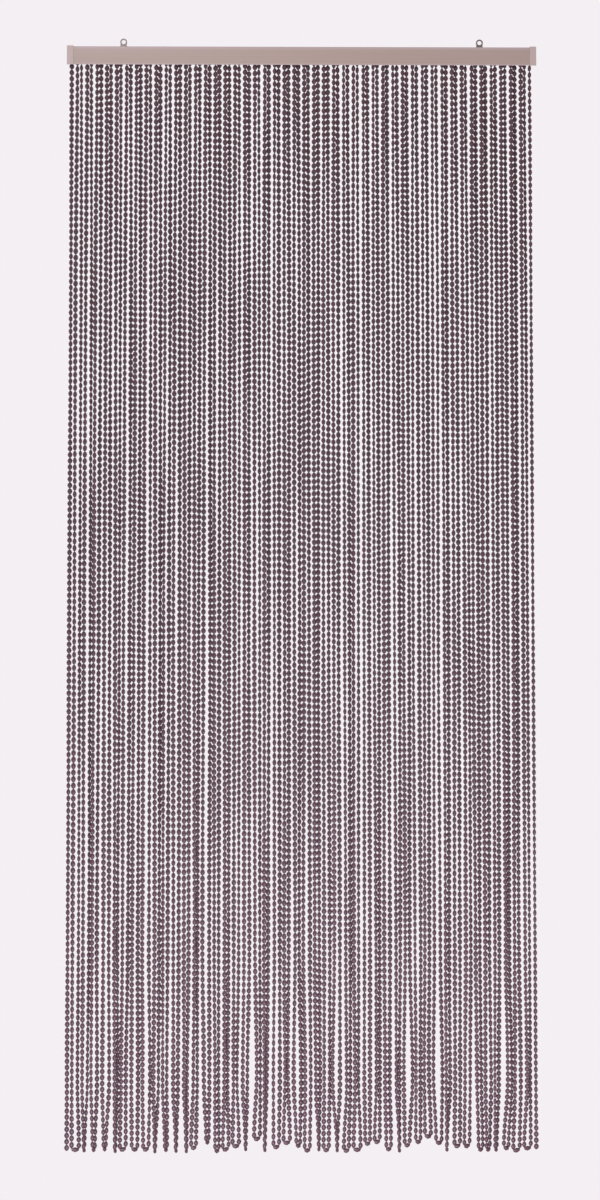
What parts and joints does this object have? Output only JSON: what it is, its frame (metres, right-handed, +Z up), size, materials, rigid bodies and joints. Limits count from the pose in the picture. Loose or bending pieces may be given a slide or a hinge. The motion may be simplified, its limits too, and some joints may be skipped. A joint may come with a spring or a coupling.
{
  "type": "bead curtain on a head rail",
  "caption": "Door curtain of hanging moulded bead strings, looped at the hem, under a slim hollow head rail with end caps and hanging eyes.",
  "frame": {"origin": "midway between the centres of the two hanging holes", "axes": "+Z up, +X to the right as the curtain is seen from the front, -Y out of the front, +Y to the wall"},
  "size_m": [0.9, 0.0192, 2.118],
  "materials": {
    "rail_finish": "aluminium faced with a satin wood-grain foil, grey beige",
    "cap_plastic": "moulded, satin, a little paler than the rail",
    "hanger_steel": "stamped, dull",
    "bead_plastic": "moulded soft plastic, dark plum brown, softly glossy"
  },
  "bodies": {
    "root": {"rail": "rail_finish", "cap_left": "cap_plastic", "cap_right": "cap_plastic", "hanger_left": "hanger_steel", "hanger_right": "hanger_steel", "strings": "bead_plastic"}
  },
  "joints": []
}
